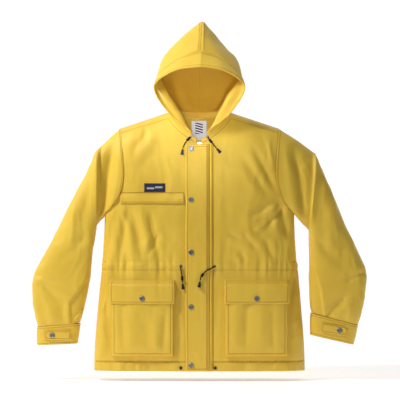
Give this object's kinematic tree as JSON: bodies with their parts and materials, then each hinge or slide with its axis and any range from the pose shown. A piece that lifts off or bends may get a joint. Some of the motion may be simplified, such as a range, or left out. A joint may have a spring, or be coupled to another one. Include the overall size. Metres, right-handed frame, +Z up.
{
  "type": "foul weather jacket",
  "caption": "Hooded waterproof sailing jacket with a storm flap over the zip, chest and patch pockets, waist and hood drawcords, and press-stud cuff tabs.",
  "frame": {"origin": "in the gap of the hanger loop at the inside back of the neck, where a coat hook holds the jacket up", "axes": "+X towards the wearer's left, +Y towards the back of the jacket, +Z up from hem to hood"},
  "size_m": [1.0113, 0.2183, 1.057],
  "materials": {
    "shell_cloth": "coated polyester taffeta with a soft satin sheen and fine weave",
    "lining_cloth": "the uncoated inner face of the same cloth",
    "label_cloth": "woven satin label",
    "badge_cloth": "woven navy badge",
    "zip_tape": "woven zip tape with moulded teeth",
    "snap_metal": "aged nickel press studs and eyelets",
    "cord": "braided black cord",
    "cord_end": "moulded black cord ends"
  },
  "bodies": {
    "shell": {"back_panel": "shell_cloth", "right_front_panel": "shell_cloth", "left_front_panel": "shell_cloth", "neck_band": "shell_cloth", "hanger_loop": "shell_cloth", "neck_label": "label_cloth", "size_tab": "label_cloth", "zip_tape_right": "zip_tape", "zip_tape_left": "zip_tape", "front_stud_tape": "snap_metal", "chest_pocket_bag": "lining_cloth", "chest_badge": "badge_cloth", "right_pocket_bag": "shell_cloth", "left_pocket_bag": "shell_cloth", "right_pocket_snap_stud": "snap_metal", "left_pocket_snap_stud": "snap_metal", "waist_casing": "lining_cloth", "hem_facing": "lining_cloth", "hood_cord_right": "cord", "hood_cord_left": "cord", "hood_cord_bell_right": "cord_end", "hood_cord_bell_left": "cord_end", "waist_cord_right": "cord", "waist_cord_end_right": "cord_end", "waist_cord_left_exit": "cord", "hem_cord_stopper_right": "cord_end", "hem_cord_stopper_left": "cord_end", "waist_eyelet_right": "snap_metal", "waist_eyelet_left": "snap_metal", "hood_eyelet_right": "snap_metal", "hood_eyelet_left": "snap_metal"},
    "storm_flap": {"storm_flap": "shell_cloth", "front_snap_cap_1": "snap_metal", "front_snap_cap_2": "snap_metal", "front_snap_cap_3": "snap_metal", "front_snap_cap_4": "snap_metal", "front_snap_cap_5": "snap_metal", "waist_cord_left": "cord", "waist_cord_end_left": "cord_end"},
    "zip_slider": {"zip_slider": "snap_metal", "zip_pull": "snap_metal"},
    "chest_flap": {"chest_flap": "shell_cloth"},
    "right_pocket_flap": {"right_pocket_flap": "shell_cloth", "right_pocket_snap_cap": "snap_metal"},
    "right_sleeve": {"right_sleeve": "shell_cloth", "right_cuff": "shell_cloth", "right_cuff_snap_stud": "snap_metal"},
    "right_cuff_tab": {"right_cuff_tab": "shell_cloth", "right_cuff_snap_cap": "snap_metal"},
    "left_pocket_flap": {"left_pocket_flap": "shell_cloth", "left_pocket_snap_cap": "snap_metal"},
    "left_sleeve": {"left_sleeve": "shell_cloth", "left_cuff": "shell_cloth", "left_cuff_snap_stud": "snap_metal"},
    "left_cuff_tab": {"left_cuff_tab": "shell_cloth", "left_cuff_snap_cap": "snap_metal"},
    "hood": {"hood_left_panel": "shell_cloth", "hood_right_panel": "shell_cloth", "hood_edge_casing": "shell_cloth"}
  },
  "joints": [
    {"name": "storm_flap_hinge", "type": "hinge", "parent": "shell", "child": "storm_flap", "pos_m": [0.031, -0.1015, -0.422], "axis": [0, 0, 1], "range_deg": [0, 110]},
    {"name": "zip_slide", "type": "slide", "parent": "shell", "child": "zip_slider", "axis": [0, 0, -1], "range_m": [0, 0.6]},
    {"name": "chest_flap_hinge", "type": "hinge", "parent": "shell", "child": "chest_flap", "pos_m": [-0.23624, -0.09254, -0.23], "axis": [-0.999, 0.0452, 0], "range_deg": [0, 110]},
    {"name": "right_pocket_flap_hinge", "type": "hinge", "parent": "shell", "child": "right_pocket_flap", "pos_m": [-0.26869, -0.10665, -0.493], "axis": [-0.9976, 0.0698, 0], "range_deg": [0, 140]},
    {"name": "left_pocket_flap_hinge", "type": "hinge", "parent": "shell", "child": "left_pocket_flap", "pos_m": [0.07669, -0.12008, -0.493], "axis": [-0.9976, -0.0698, 0], "range_deg": [0, 140]},
    {"name": "right_shoulder", "type": "hinge", "parent": "shell", "child": "right_sleeve", "pos_m": [-0.234, -0.036, -0.028], "axis": [0, 1, 0], "range_deg": [0, 38]},
    {"name": "left_shoulder", "type": "hinge", "parent": "shell", "child": "left_sleeve", "pos_m": [0.234, -0.036, -0.028], "axis": [0, -1, 0], "range_deg": [0, 38]},
    {"name": "right_cuff_tab_hinge", "type": "hinge", "parent": "right_sleeve", "child": "right_cuff_tab", "pos_m": [-0.386, -0.0875, -0.655], "axis": [0, 0, 1], "range_deg": [0, 110]},
    {"name": "left_cuff_tab_hinge", "type": "hinge", "parent": "left_sleeve", "child": "left_cuff_tab", "pos_m": [0.366, -0.0875, -0.631], "axis": [-0.1724, 0, -0.985], "range_deg": [0, 110]},
    {"name": "hood_fold", "type": "hinge", "parent": "shell", "child": "hood", "pos_m": [0, 0.01, 0.017], "axis": [-1, 0, 0], "range_deg": [0, 60]}
  ]
}
